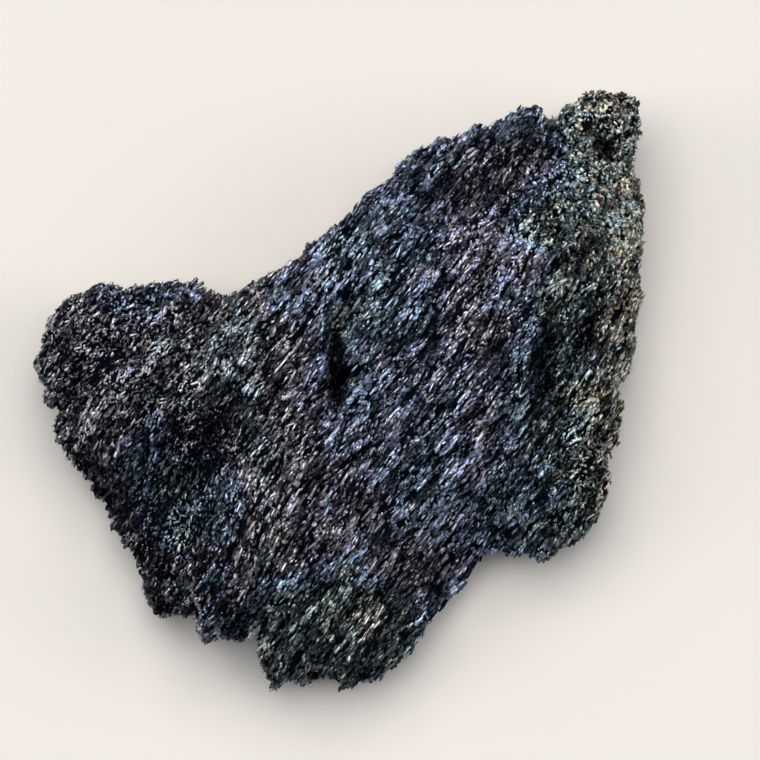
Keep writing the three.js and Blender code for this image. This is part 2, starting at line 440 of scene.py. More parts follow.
@dataclass(frozen=True)
class TarnishedCrystal:
    """Black silicon carbide crystals as they leave the furnace, under a thin film of their own oxide.

    The bare crystal is opaque and blue-black, and glassy to half metallic: its high index mirrors about a
    fifth of the light. The film tints that mirror by interference, so its tint goes in as a metal's colour.
    As the film thickens to a little over a quarter of a thousandth of a millimetre, it runs from blue-grey
    through plain grey, violet, blue, sea green, olive and pale gold to tan and a dull rose. The crystals'
    sides are smooth but stepped, so each glints as a soft patch. Film colours go by nanometres.
    """

    thickest_film: float = 280.0
    film_colours: tuple[tuple[float, str], ...] = (
        (0, "8b9eae"),
        (24, "939fa7"),
        (48, "9b9d9e"),
        (70, "9c989a"),
        (92, "9995a2"),
        (112, "9094ab"),
        (132, "8597b4"),
        (154, "89a0ac"),
        (174, "92a09e"),
        (196, "9aa097"),
        (218, "a29d8f"),
        (246, "a49382"),
        (280, "9a8b87"),
    )
    body: str = "000511"
    metallic: float = 0.6
    gloss: float = 0.05
    roughness: tuple[float, float] = (0.34, 0.54)
    haze_size: float = 0.5
    haze_range: tuple[float, float] = (0.35, 0.65)

    def material(self) -> bpy.types.Material:
        """Builds the finish, which reads the film and shade that each crystal carries.

        Returns:
            The material.
        """
        made = new_material("tarnished_crystal")
        tree = made.node_tree
        film = add_node(tree, "ShaderNodeAttribute", {"attribute_name": "film"})
        depth = add_node(tree, "ShaderNodeMath", {"operation": "DIVIDE", 1: self.thickest_film},
                         {0: film.outputs["Fac"]})
        stops = [(nm / self.thickest_film, linear(colour)) for nm, colour in self.film_colours]
        colour = add_node(tree, "ShaderNodeValToRGB", {"stops": stops}, {"Fac": depth.outputs[0]})
        # The shade attribute scales the film colour: each crystal's own tone together with painted light
        # and shade.
        shade = add_node(tree, "ShaderNodeAttribute", {"attribute_name": "shade"})
        toned = add_node(tree, "ShaderNodeVectorMath", {"operation": "SCALE"},
                         {0: colour.outputs["Color"], "Scale": shade.outputs["Fac"]})
        whole = add_node(tree, "ShaderNodeVectorMath", {"operation": "ADD", 1: linear(self.body)[:3]},
                         {0: toned.outputs[0]})
        place = add_node(tree, "ShaderNodeNewGeometry")
        haze = add_node(tree, "ShaderNodeTexNoise", {"Scale": 1 / (self.haze_size * MM), "Detail": 3.0},
                        {"Vector": place.outputs["Position"]})
        (thin, thick), (low, high) = self.haze_range, self.roughness
        rough = add_node(tree, "ShaderNodeMapRange",
                         {"From Min": thin, "From Max": thick, "To Min": low, "To Max": high},
                         {"Value": haze.outputs["Fac"]})
        shader = add_node(tree, "ShaderNodeBsdfPrincipled",
                          {"Metallic": self.metallic, "Specular IOR Level": self.gloss},
                          {"Base Color": whole.outputs[0], "Roughness": rough.outputs["Result"]})
        add_node(tree, "ShaderNodeOutputMaterial", {}, {"Surface": shader.outputs[0]})
        return made


@dataclass(frozen=True)
class FurnaceCarbide:
    """The massive silicon carbide that the crystals stand on, grown in the furnace and left rough.

    Its crystals are too fine to tell apart, so it is matt and all but black, with small blue-grey glints
    painted into its colour, drawn out along the growth. The index is silicon carbide's own, but the pores
    swallow nearly all of the mirrored light, so hardly any gloss is left. Sizes are in millimetres.
    """

    heading: float
    # The lightest tint is painted glints.
    tints: tuple[tuple[float, str], ...] = ((0.45, "01040a"), (0.56, "03070d"), (0.72, "1c222b"))
    ior: float = 2.6
    gloss: float = 0.006
    roughness: float = 0.8
    streak: float = 2.5
    painted_glint_size: float = 0.55
    # The real grit is finer than a tenth of a millimetre. It is drawn this coarse so that it shows.
    grit_size: float = 0.25
    grit_depth: float = 0.06

    def material(self) -> bpy.types.Material:
        """Builds the finish.

        Returns:
            The material.
        """
        made = new_material("furnace_carbide")
        tree = made.node_tree
        place = add_node(tree, "ShaderNodeNewGeometry")
        along = add_node(tree, "ShaderNodeMapping",
                         {"vector_type": "TEXTURE", "Rotation": (0, 0, math.radians(self.heading)),
                          "Scale": (self.streak, 1, 1)},
                         {"Vector": place.outputs["Position"]})
        # Painted glints: a noise lightens the colour in small streaks along the growth.
        glint = add_node(tree, "ShaderNodeTexNoise", {"Scale": 1 / (self.painted_glint_size * MM), "Detail": 2.0},
                         {"Vector": along.outputs[0]})
        stops = [(spot, linear(tint)) for spot, tint in self.tints]
        colour = add_node(tree, "ShaderNodeValToRGB", {"stops": stops}, {"Fac": glint.outputs["Fac"]})
        grit = add_node(tree, "ShaderNodeTexNoise", {"Scale": 1 / (self.grit_size * MM), "Detail": 3.0},
                        {"Vector": place.outputs["Position"]})
        bump = add_node(tree, "ShaderNodeBump", {"Distance": self.grit_depth * MM, "Strength": 1.0},
                        {"Height": grit.outputs["Fac"]})
        shader = add_node(tree, "ShaderNodeBsdfPrincipled",
                          {"Roughness": self.roughness, "IOR": self.ior, "Specular IOR Level": self.gloss},
                          {"Base Color": colour.outputs["Color"], "Normal": bump.outputs[0]})
        add_node(tree, "ShaderNodeOutputMaterial", {}, {"Surface": shader.outputs[0]})
        return made


@dataclass(frozen=True)
class MattCard:
    """Pale warm card for the floor: uncoated, so it has no gloss."""

    colour: str = "dcd9d2"
    roughness: float = 0.9

    def material(self) -> bpy.types.Material:
        """Builds the finish.

        Returns:
            The material.
        """
        made = new_material("matt_card")
        tree = made.node_tree
        settings = {"Base Color": linear(self.colour), "Roughness": self.roughness}
        shader = add_node(tree, "ShaderNodeBsdfPrincipled", settings)
        add_node(tree, "ShaderNodeOutputMaterial", {}, {"Surface": shader.outputs[0]})
        return made


# ---------------------------------------------------------------- the massive core


@dataclass
class Core:
    """The massive part of the chunk: the CAD body, drawn in a little and broken up into bundles.

    Sizes are in millimetres. Each row of folds is a size across the growth, a size along it and a height.
    The pits are the deep slot, the long cleft on the right and the small pit near the far corner.
    """

    growth: Growth
    voxel: float = 0.58
    inset: float = 0.68
    floor_gap: float = 0.3
    smoothing: int = 3
    kept_share: float = 0.7
    folds: tuple[tuple[float, float, float], ...] = ((6.5, 14.0, 0.9), (3.0, 9.0, 1.2), (1.5, 5.2, 0.8))
    fold_seeds: tuple[int, ...] = (11, 12, 13)
    crest_gain: float = 2.4
    crest_mean: float = 0.6
    pit_closes: float = 0.8
    pits: tuple[Zone, ...] = (
        Zone(0, 3.4, 1.6, 3.4, 4.0, 92, 2.0),
        Zone(36.4, 5, 2.7, 1.9, 3.4, 84, 2.5),
        Zone(47, 43.5, 1.9, 2.6, 1.3, 110, 1.5),
    )
    name: str = "massive_carbide"

    def smooth_copy(self) -> bpy.types.Mesh:
        """Meshes a copy of the CAD body evenly.

        Returns:
            The copy, as one closed mesh.
        """
        rough = put_in_scene("rough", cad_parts[NODE].data.copy())
        remesh = rough.modifiers.new("even", "REMESH")
        remesh.mode = "VOXEL"
        remesh.voxel_size = self.voxel * MM
        relax = rough.modifiers.new("relax", "SMOOTH")
        relax.iterations = self.smoothing
        graph = bpy.context.evaluated_depsgraph_get()
        mesh = bpy.data.meshes.new_from_object(rough.evaluated_get(graph))
        bpy.data.objects.remove(rough)
        self.drop_crumbs(mesh)
        return mesh

    def drop_crumbs(self, mesh: bpy.types.Mesh, in_triangles: bool = False) -> None:
        """Leaves out the few specks that are loose from the body or hang on it by no more than an edge.

        Args:
            mesh: the mesh that is cleaned.
            in_triangles: whether its faces are cut into triangles first.
        """
        shape = bmesh.new()
        shape.from_mesh(mesh)
        if in_triangles:
            bmesh.ops.triangulate(shape, faces=shape.faces[:])
        waiting = [min(shape.faces, key=lambda face: face.calc_center_median().z)]
        joined = set(waiting)
        while waiting:
            sides = [edge.link_faces for edge in waiting.pop().edges]
            fresh = {face for pair in sides if len(pair) == 2 for face in pair} - joined
            joined |= fresh
            waiting += fresh
        crumbs = [face for face in shape.faces if face not in joined]
        bmesh.ops.delete(shape, geom=crumbs, context="FACES")
        shape.to_mesh(mesh)
        shape.free()

    def fold(self, places: np.ndarray) -> tuple[np.ndarray, np.ndarray]:
        """Breaks the body up into bundles, with round crests and sharp clefts between them.

        Args:
            places: rows in millimetres.

        Returns:
            Each place's height, on average near zero, and how open it is: 0 in a cleft and 1 on a crest.
        """
        height, openness = np.zeros(len(places)), np.zeros(len(places))
        for (across, along, depth), seed in zip(self.folds, self.fold_seeds):
            wave = Noise(seed).at(self.growth.stretched(places, across, along))
            crest = np.sin(np.minimum(np.abs(wave) * self.crest_gain, 1.0) * math.pi / 2)
            height += depth * (crest - self.crest_mean)
            openness += depth * crest
        openness /= sum(depth for _, _, depth in self.folds)
        for pit in self.pits:
            height -= pit.amount * pit.weight(places)
            openness *= 1 - self.pit_closes * pit.weight(places)
        return height, openness

    def thin(self, piece: bpy.types.Object) -> None:
        """Merges the triangles that the shape needs least, which the crystals hide.

        Args:
            piece: the core, which gets the thinned mesh.
        """
        merge = piece.modifiers.new("merge", "DECIMATE")
        merge.ratio = self.kept_share
        graph = bpy.context.evaluated_depsgraph_get()
        thinned = bpy.data.meshes.new_from_object(piece.evaluated_get(graph))
        self.drop_crumbs(thinned, in_triangles=True)
        piece.modifiers.clear()
        piece.data = thinned

    def build(self) -> tuple[bpy.types.Object, Surface]:
        """Builds the core.

        Returns:
            The finished piece, and its skin for crystals to grow on.
        """
        mesh = self.smooth_copy()
        count = len(mesh.vertices)
        points, normals = np.empty(count * 3), np.empty(count * 3)
        mesh.vertices.foreach_get("co", points)
        mesh.vertices.foreach_get("normal", normals)
        points, normals = points.reshape(-1, 3) / MM, normals.reshape(-1, 3)
        height, openness = self.fold(points)
        points += normals * (height - self.inset)[:, None]
        points[:, 2] = np.maximum(points[:, 2], self.floor_gap)
        mesh.vertices.foreach_set("co", (points * MM).ravel())
        mesh.update()
        mesh.vertices.foreach_get("normal", normals := np.empty(count * 3))
        mesh.calc_loop_triangles()
        faces = np.empty(len(mesh.loop_triangles) * 3, np.int32)
        mesh.loop_triangles.foreach_get("vertices", faces)
        piece = put_in_scene(self.name, mesh)
        self.thin(piece)
        piece.data.materials.clear()
        piece.data.materials.append(FurnaceCarbide(self.growth.heading).material())
        piece.data.polygons.foreach_set("use_smooth", np.ones(len(piece.data.polygons), bool))
        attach(piece, BODY)
        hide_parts(NODE)
        return piece, Surface(points, normals.reshape(-1, 3), openness, faces.reshape(-1, 3))


@dataclass(frozen=True)
class Tarnish:
    """How the oxide film and the crystals' brightness vary over the chunk.

    Places and sizes are in millimetres, films in nanometres and tones in logarithms of brightness. The
    spread is the film from left to right, and its borders wander. Drifts are patterns along the growth,
    each a size across, a size along and a depth, and are weaker in the even zone. A patch draws the film
    there towards a thickness of its own, and a light adds its amount to the tone as painted light, or as
    painted shade where the amount is below zero. Both were placed one by one, and both fade down the
    flanks.
    Clumps and flecks are rows like the drifts', but in tones. The tone also holds painted shade in the
    clefts and down the flanks, and the shade adds painted light and shade by how far each crystal stands
    out, with painted shade at its foot and a painted highlight at its crest.
    """

    growth: Growth
    spread: tuple[tuple[float, float], ...] = (
        (-55, 58), (-44, 56), (-35, 40), (-15, 28), (-8, 76), (0, 112),
        (12, 126), (24, 104), (31, 124), (38, 170), (46, 188), (55, 202),
    )
    wander: float = 4.0
    wander_size: float = 11.0
    wander_seed: int = 37
    drifts: tuple[tuple[float, float, float], ...] = ((6.0, 9.0, 30.0), (2.6, 4.0, 34.0))
    drift_seed: int = 31
    drift_in_patches: float = 0.4
    even: Zone = Zone(-44, -1, 12, 0.65)
    patch_on_flanks: float = 0.35
    patch_fade: float = 2.5
    scatter: float = 12.0
    odd_share: float = 0.045
    odd_film: tuple[float, float] = (20.0, 240.0)
    taper: float = 10.0
    patches: tuple[tuple[Zone, float], ...] = (
        (Zone(-27, -19, 11, 1.1), 154.0),
        (Zone(-34, 18, 7, 1.3, 1.5), 136.0),
        (Zone(-29, 14, 2.5, 0.9), 60.0),
        (Zone(-36, 4, 3, 0.9), 112.0),
        (Zone(-34, -8, 3.2, 1.0, 2.4, 40), 146.0),
        (Zone(-44, -21, 4.5, 0.9), 142.0),
        (Zone(-50, 14, 3, 0.8), 120.0),
        (Zone(-37, -14, 4, 1.0), 150.0),
        (Zone(-29, -15, 4.5, 1.0), 172.0),
        (Zone(-21, -22, 5, 1.1, 1.5, 60), 144.0),
        (Zone(-28, -27, 3, 1.0), 180.0),
        (Zone(-22, -41, 4, 0.9), 164.0),
        (Zone(-22, -34, 3.5, 1.0), 142.0),
        (Zone(-9, 17, 6, 0.9), 144.0),
        (Zone(1, 27, 7, 0.9), 158.0),
        (Zone(6.5, 16, 5.5, 1.0, 1.4, 80), 156.0),
        (Zone(0, 10, 3, 1.0, 2.3, 92), 188.0),
        (Zone(3.8, 2, 2.4, 1.0, 2.2, 85), 150.0),
        (Zone(-1, -2, 4, 0.5), 140.0),
        (Zone(-6, -1, 3, 0.8), 104.0),
        (Zone(13, 36, 8, 0.95), 126.0),
        (Zone(22, 36, 4.5, 1.0), 80.0),
        (Zone(34, 39, 7, 1.1), 62.0),
        (Zone(27, 25, 7, 0.7), 86.0),
        (Zone(37, 29, 6, 0.95, 1.7, 80), 194.0),
        (Zone(34, 22, 4, 0.9), 66.0),
        (Zone(27, 11, 4, 0.9), 62.0),
        (Zone(31.8, 3, 2.2, 1.0, 3.6, 84), 156.0),
        (Zone(37.8, 17, 1.8, 1.0, 1.8, 75), 184.0),
        (Zone(34, -4, 4, 0.6), 190.0),
        (Zone(42, -6, 4, 1.0), 160.0),
        (Zone(40, -27, 7, 0.7), 166.0),
        (Zone(24, -7, 2.5, 0.8), 68.0),
        (Zone(20, 0, 3.5, 0.8), 150.0),
        (Zone(9, -9, 4, 0.6), 94.0),
        (Zone(15, -17, 6.5, 1.0), 140.0),
        (Zone(21, -11, 4, 1.0), 116.0),
        (Zone(28, -22, 7, 1.0), 148.0),
        (Zone(-3, -19, 6, 0.6), 76.0),
        (Zone(5, -21, 4.5, 0.9), 66.0),
        (Zone(-11, -38, 7, 0.9), 162.0),
        (Zone(-1, -26, 3.5, 0.9), 60.0),
        (Zone(12, -33, 6, 1.0, 1.7, 60), 68.0),
        (Zone(-2, -46, 12, 1.5, 1.5, 10, 2), 180.0),
        (Zone(1, -32, 3.5, 0.8), 186.0),
        (Zone(6, -41, 4.5, 1.0), 194.0),
        (Zone(53, 17, 3, 0.9), 222.0),
        (Zone(48, 13, 4, 0.9), 214.0),
        (Zone(49, 52, 5, 0.8), 222.0),
        (Zone(49, -3, 5, 0.9, 1.6, 90), 220.0),
        (Zone(48, -18, 4, 0.8, 1.8, 70), 218.0),
        (Zone(42, -30, 2.5, 0.7), 222.0),
    )
    base_tone: float = -0.87
    string_tone: float = 0.36
    own_tone: float = 0.58
    clumps: tuple[float, float, float] = (2.4, 6.5, 1.42)
    clump_seed: int = 35
    flecks: tuple[float, float, float] = (0.9, 3.4, 1.55)
    fleck_seed: int = 36
    # Painted shade in the clefts and down the flanks, in logarithms of brightness.
    cleft_painted_shade: float = 2.4
    usual_openness: float = 0.75
    flank_painted_shade: float = 1.6
    # The painted shade on the flanks deepens as they turn down, as far as this and no further.
    steepest: float = 0.6
    # Painted light and shade: lighter where a crystal stands out and at its crest, darker where it stands
    # low and at its foot.
    painted_light_by_rise: float = 2.7
    painted_crest_light: float = 2.2
    shade_limits: tuple[float, float] = (0.01, 2.6)
    painted_light_fade: float = 2.0
    # Painted light and shade, zone by zone: a positive amount lightens the tone as painted light, a
    # negative one darkens it as painted shade over recesses, clefts and pits.
    lights: tuple[Zone, ...] = (
        Zone(-24, -10, 4.6, -1.1, 1.8, 75, 1.6),
        Zone(-37, -20, 5, -0.4, 1.5, 110),
        Zone(-42, -18, 4, -1.9, 1.8, 120),
        Zone(-28, -19, 4.5, -0.6),
        Zone(-33, -27, 4, 0.5),
        Zone(-41, 9, 5, -0.4),
        Zone(-33, -35, 7.5, -1.4),
        Zone(-18, 12, 5, -0.4),
        Zone(36.4, 5, 2.9, -0.6, 3.4, 84, 2.5),
        Zone(39.5, 25, 1.6, -0.8, 3.6, 82, 1.5),
        Zone(0, 3.4, 1.5, -2.4, 4.0, 92, 2.0),
        Zone(47, 43.5, 2.0, -1.8, 1.3, 110, 1.5),
        Zone(40, -11, 4, -0.8),
        Zone(32, -23, 3.5, -0.4),
        Zone(9, 28, 3, -0.4),
        Zone(19, 28, 5, -1.3),
        Zone(27, 8, 4, -1.2),
        Zone(15, 38, 6, -0.9),
        Zone(27, 36, 5, -2.0),
        Zone(37, 45, 3.5, -1.2),
        Zone(19, -5, 5, -0.6),
        Zone(16, -36, 5, -0.5),
        Zone(9, -42, 6, -0.9, 1.5, 40),
        Zone(-10, -32, 5, -0.8, 1.3, 60),
        Zone(-4, -40, 6, -0.7),
        Zone(-9, -50, 6, -0.7),
        Zone(6, -50, 6, -0.9),
        Zone(33, -13, 5, -0.6),
        Zone(34, 23, 4, 0.7),
        Zone(37.8, 17, 1.5, 1.0, 1.8, 75),
        Zone(41, 13, 3.2, -0.7),
        Zone(31.8, 3, 1.7, 0.8, 3.2, 84),
        Zone(42, 0, 3.2, 1.1),
        Zone(34, 36, 3.5, 0.9),
        Zone(6, 36, 3, 0.6),
        Zone(0, 17, 3.2, 1.5),
        Zone(19, 15, 5, 0.5),
        Zone(27, 15, 3, 0.6),
        Zone(13, 9, 3.5, -0.5),
        Zone(-29, 14, 1.2, 2.0),
        Zone(-31, 19, 3.5, 0.5),
        Zone(-9, 10, 4, 0.8),
        Zone(-1, 22, 5, 0.8),
        Zone(3, 31, 4, 0.8),
        Zone(9, 21, 4, 0.4),
        Zone(4.5, 4, 2.2, 0.9, 2.6, 86),
        Zone(-25, 6, 4, 0.5, 1.5, 50),
        Zone(-25, 1, 5, 0.8, 1.7),
        Zone(5, -4, 3, 0.5),
        Zone(31, -2, 3.5, 0.7, 1.5, 50),
        Zone(19, -19, 5, 1.1),
        Zone(6, -30, 4.5, 0.8),
        Zone(8, -22, 3, 0.4, 1.8, 40),
        Zone(-15, -13, 3.5, 0.9, 1.4, 80),
        Zone(43, 50, 4, 1.7),
        Zone(51, 49, 4, 1.0),
        Zone(48, -20, 4, 0.4),
        Zone(42, 36, 5, 0.3),
        Zone(50, 36, 6, 1.3, 1.6, 90),
        Zone(51, 27, 5, 0.6),
    )

    def film(self, places: np.ndarray, normals: np.ndarray, draw: np.random.Generator) -> np.ndarray:
        """How thick the film is on each crystal.

        Args:
            places: where the crystals stand, in millimetres.
            normals: the skin's normal there; the patches fade where it turns down the flanks.
            draw: the source of chance.

        Returns:
            Thicknesses in nanometres.
        """
        border = self.wander * Noise(self.wander_seed).at(places / self.wander_size)
        film = np.interp(places[:, 0] + border, *zip(*self.spread))
        facing_up = np.clip(normals[:, 2] * self.patch_fade, 0, 1)
        upright = self.patch_on_flanks + (1 - self.patch_on_flanks) * facing_up
        calm = 1 - self.even.amount * self.even.weight(places)
        drift = sum(calm * depth * Noise(seed).at(self.growth.stretched(places, across, along))
                    for seed, (across, along, depth) in enumerate(self.drifts, self.drift_seed))
        film += drift
        for zone, target in self.patches:
            share = np.minimum(zone.amount * zone.weight(places) * upright, 1.0)
            film += eased(share) * (target + self.drift_in_patches * drift - film)
        film += self.scatter * draw.normal(size=len(places))
        odd = draw.random(len(places)) < self.odd_share
        return np.where(odd, draw.uniform(*self.odd_film, len(places)), film)

    def tone(self, places: np.ndarray, normals: np.ndarray, openness: np.ndarray, strings: np.ndarray,
             draw: np.random.Generator) -> np.ndarray:
        """How bright each crystal is: painted shade in clefts and down the flanks, painted light and shade
        from zones.

        Args:
            places: where they stand, in millimetres.
            normals: the skin's normal there.
            openness: how open each place is, from 0 to 1.
            strings: chance that the crystals of a string share.
            draw: the source of chance.

        Returns:
            Logarithms of brightness, round 0.
        """
        tone = self.base_tone + self.string_tone * strings + self.own_tone * draw.normal(size=len(places))
        tone = tone + self.growth.streaks(places, self.clumps, self.clump_seed)
        tone = tone + self.growth.streaks(places, self.flecks, self.fleck_seed)
        # Painted shade: darker in clefts and where the skin turns down the flanks.
        steep = np.minimum(1 - normals[:, 2], self.steepest)
        tone += self.cleft_painted_shade * (openness - self.usual_openness) - self.flank_painted_shade * steep
        # Painted light and shade from the zones, fading where the skin turns down the flanks.
        upright = np.clip(normals[:, 2] * self.painted_light_fade, 0, 1)
        return tone + upright * sum(zone.amount * zone.weight(places) for zone in self.lights)

    def shade(self, tone: np.ndarray, rise: np.ndarray, crest: np.ndarray) -> np.ndarray:
        """How bright each corner is: painted light at crests and on crystals that stand out, painted shade
        below.

        Args:
            tone: each crystal's own tone, as a column.
            rise: how far it stands out, in millimetres, as a column.
            crest: how high each corner is on its crystal, from -0.5 to 0.5, one row for each crystal.

        Returns:
            Factors round 1, in rows as crest is.
        """
        # Painted light and shade by each crystal's rise and by each corner's height on it.
        log_shade = tone + self.painted_light_by_rise * (rise - rise.mean()) + self.painted_crest_light * (crest - crest.mean())
        return np.clip(np.exp(log_shade), *self.shade_limits)


# ---------------------------------------------------------------- the crust of crystals


class Habit(Enum):
    """The shapes that the crystals grow in."""

    BLADE = "crystal_blades"
    SPLINTER = "crystal_splinters"
    PLATE = "crystal_plates"
    GRAIN = "crystal_grains"


@dataclass(frozen=True)
class Form:
    """A crystal's shape: corners in lengths, widths and heights, and triangles wound outwards."""

    corners: tuple[tuple[float, float, float], ...]
    faces: tuple[tuple[int, int, int], ...]


# A long roof: four corners at its foot and a ridge along the top.
ROOF = Form(
    ((-0.5, -0.42, -0.3), (0.44, -0.5, -0.3), (0.5, 0.4, -0.3), (-0.46, 0.5, -0.3), (-0.34, 0.0, 0.5),
     (0.36, 0.05, 0.42)),
    ((0, 1, 5), (0, 5, 4), (2, 3, 4), (2, 4, 5), (1, 2, 5), (3, 0, 4), (0, 3, 2), (0, 2, 1)),
)
# Three-sided, with a point at each end.
NEEDLE = Form(
    ((-0.5, 0.0, -0.1), (0.5, 0.0, 0.1), (0.05, -0.5, -0.3), (0.12, 0.5, -0.22), (0.0, 0.02, 0.55)),
    ((1, 4, 2), (1, 3, 4), (1, 2, 3), (0, 2, 4), (0, 4, 3), (0, 3, 2)),
)
# A six-sided plate with a flat top, tapering to its root.
HEXAGON = Form(
    ((-0.5, 0.0, 0.5), (-0.25, -0.5, 0.5), (0.28, -0.46, 0.5), (0.5, 0.02, 0.5), (0.24, 0.5, 0.5),
     (-0.27, 0.46, 0.5), (0.0, 0.0, -0.5)),
    ((0, 1, 2), (0, 2, 3), (0, 3, 4), (0, 4, 5), (1, 0, 6), (2, 1, 6), (3, 2, 6), (4, 3, 6), (5, 4, 6),
     (0, 5, 6)),
)


@dataclass(frozen=True)
class Crust:
    """One habit's crystals over the whole chunk, in strings that run along the growth.

    Sizes are in millimetres and angles in degrees. A string's crystals overlap like tiles and share some of
    their roll and shade. The skews make small sizes commoner than large ones. Bundles of strings roll
    together: a size across the growth, a size along it and a strength.
    """

    habit: Habit
    form: Form
    strings: int
    links: int
    seed: int
    length: tuple[float, float]
    width: tuple[float, float]
    height: tuple[float, float]
    rise: tuple[float, float]
    lift: float
    yaw: float
    roll: float
    growth: Growth
    tarnish: Tarnish
    zones: tuple[Zone, ...] = ()
    spacing: float = 0.72
    stagger: float = 0.09
    rate_in_clefts: float = 0.6
    rate_gain: float = 0.8
    least_rate: float = 0.05
    facing_out: float = 0.25
    bundles: tuple[float, float, float] = (1.7, 4.5, 1.2)
    bundle_seed: int = 22
    string_roll: float = 0.8
    own_roll: float = 0.45
    length_skew: float = 1.4
    width_skew: float = 1.3
    rise_skew: float = 1.2
    tangle_power: float = -0.3
    rooted: float = 0.36
    uneven: float = 0.055
    map_share: float = 0.6

    @property
    def count(self) -> int:
        """How many crystals there are."""
        return self.strings * self.links

    def thickness(self, places: np.ndarray, openness: np.ndarray) -> np.ndarray:
        """How thickly this habit stands at each place: clefts are starved, and zones differ.

        Args:
            places: rows in millimetres.
            openness: how open each place is, from 0 to 1.

        Returns:
            Rates round 1.
        """
        rate = self.rate_in_clefts + self.rate_gain * openness
        for zone in self.zones:
            rate += zone.amount * zone.weight(places)
        return np.maximum(rate, self.least_rate)

    def between(self, draw: np.random.Generator, limits: tuple[float, float],
                skew: float = 1.0) -> np.ndarray:
        """Draws one size for each crystal.

        Args:
            draw: the source of chance.
            limits: the smallest and largest size.
            skew: above 1, small sizes are commoner.

        Returns:
            The sizes, as a column.
        """
        low, high = limits
        return low + (high - low) * draw.random((self.count, 1)) ** skew

    def string_out(self, skin: Surface,
                   draw: np.random.Generator) -> tuple[np.ndarray, np.ndarray, np.ndarray]:
        """Sets the crystals out in strings along the growth.

        Args:
            skin: the surface that they stand on.
            draw: the source of chance.

        Returns:
            Each crystal's place, and the skin's normal and openness there.
        """
        heads = skin.scatter(self.strings, draw, self.thickness)
        along = self.growth.directions(heads)
        step = self.spacing * sum(self.length) / 2
        order = np.arange(self.links) - (self.links - 1) / 2
        places = heads[:, None] + along[:, None] * (order * step)[None, :, None]
        places = places.reshape(-1, 3)
        places = places + self.stagger * self.growth.tangle(places) * draw.normal(size=places.shape)
        return skin.settle(places)

    def axes(self, places: np.ndarray, normals: np.ndarray,
             draw: np.random.Generator) -> tuple[np.ndarray, np.ndarray, np.ndarray]:
        """Turns each crystal: along the growth, a little out of the skin, and rolled with its string.

        Args:
            places: where the crystals stand.
            normals: the skin's normal there.
            draw: the source of chance.

        Returns:
            Unit vectors along each crystal's length, width and height.
        """
        along = self.growth.directions(places)
        facing = dots(along, normals)
        either = np.where(draw.random((self.strings, 1)) < 0.5, -1.0, 1.0).repeat(self.links, 0)
        along = along * np.where(np.abs(facing) > self.facing_out, np.sign(facing), either)
        spread = math.tan(math.radians(self.yaw))
        stray = spread * self.growth.tangle(places) * draw.normal(size=places.shape)
        along = unit(along + self.lift * normals + stray)
        across = unit(np.cross(normals, along))
        own = self.string_roll * draw.normal(size=self.strings).repeat(self.links)
        own = own + self.own_roll * draw.normal(size=self.count)
        bundle = self.growth.streaks(places, self.bundles, self.bundle_seed)
        roll = np.radians(self.roll * (own + bundle))[:, None]
        up = np.cross(along, across)
        side = across * np.cos(roll) + up * np.sin(roll)
        return along, side, np.cross(along, side)

    def build(self, skin: Surface) -> bpy.types.Object:
        """Builds the crystals.

        Args:
            skin: the surface that they stand on.

        Returns:
            The finished piece.
        """
        draw = np.random.default_rng(self.seed)
        places, normals, openness = self.string_out(skin, draw)
        along, side, up = self.axes(places, normals, draw)
        size = self.growth.coarseness(places)
        length = self.between(draw, self.length, self.length_skew) * size
        length = length * self.growth.tangle(places) ** self.tangle_power
        width = self.between(draw, self.width, self.width_skew) * size
        height = self.between(draw, self.height) * size
        rise = self.between(draw, self.rise, self.rise_skew)
        middle = places + normals * rise
        middle = middle - along * length * self.rooted * np.abs(dots(along, normals))
        shape = np.array(self.form.corners)
        wobble = shape + draw.normal(scale=self.uneven, size=(self.count, *shape.shape))
        corners = middle[:, None] + (
            wobble[:, :, :1] * (along * length)[:, None]
            + wobble[:, :, 1:2] * (side * width)[:, None]
            + wobble[:, :, 2:] * (up * height)[:, None]
        )
        points = corners.reshape(-1, 3)
        points[:, 2] = np.maximum(points[:, 2], 0.0)
        faces = np.array(self.form.faces)
        starts = np.arange(self.count)[:, None, None] * len(shape)
        mesh = new_mesh(self.habit.value, points * MM, (faces + starts).reshape(-1, 3))
        film = self.tarnish.film(places, normals, draw)[:, None] + wobble[:, :, 0] * self.tarnish.taper
        add_values(mesh, "film", film.ravel())
        shared = draw.normal(size=self.strings).repeat(self.links)
        # The shade holds each crystal's own tone and the painted light and shade.
        tone = self.tarnish.tone(places, normals, openness, shared, draw)[:, None]
        add_values(mesh, "shade", self.tarnish.shade(tone, rise, wobble[:, :, 2]).ravel())
        self.lay_out(mesh, shape, faces)
        piece = put_in_scene(self.habit.value, mesh)
        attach(piece, BODY)
        return piece

    def lay_out(self, mesh: bpy.types.Mesh, shape: np.ndarray, faces: np.ndarray) -> None:
        """Maps each crystal into a square of its own, so that it keeps its own colour.

        Args:
            mesh: the joined crystals.
            shape: one crystal's corners.
            faces: one crystal's triangles.
        """
        squares = math.ceil(math.sqrt(self.count))
        order = np.arange(self.count)
        origin = np.stack([order % squares, order // squares], 1)[:, None]
        inner = 0.5 + self.map_share * shape[faces.ravel()][:, :2]
        add_bake_map(mesh, (origin + inner[None]) / squares)


# ---------------------------------------------------------------- studio


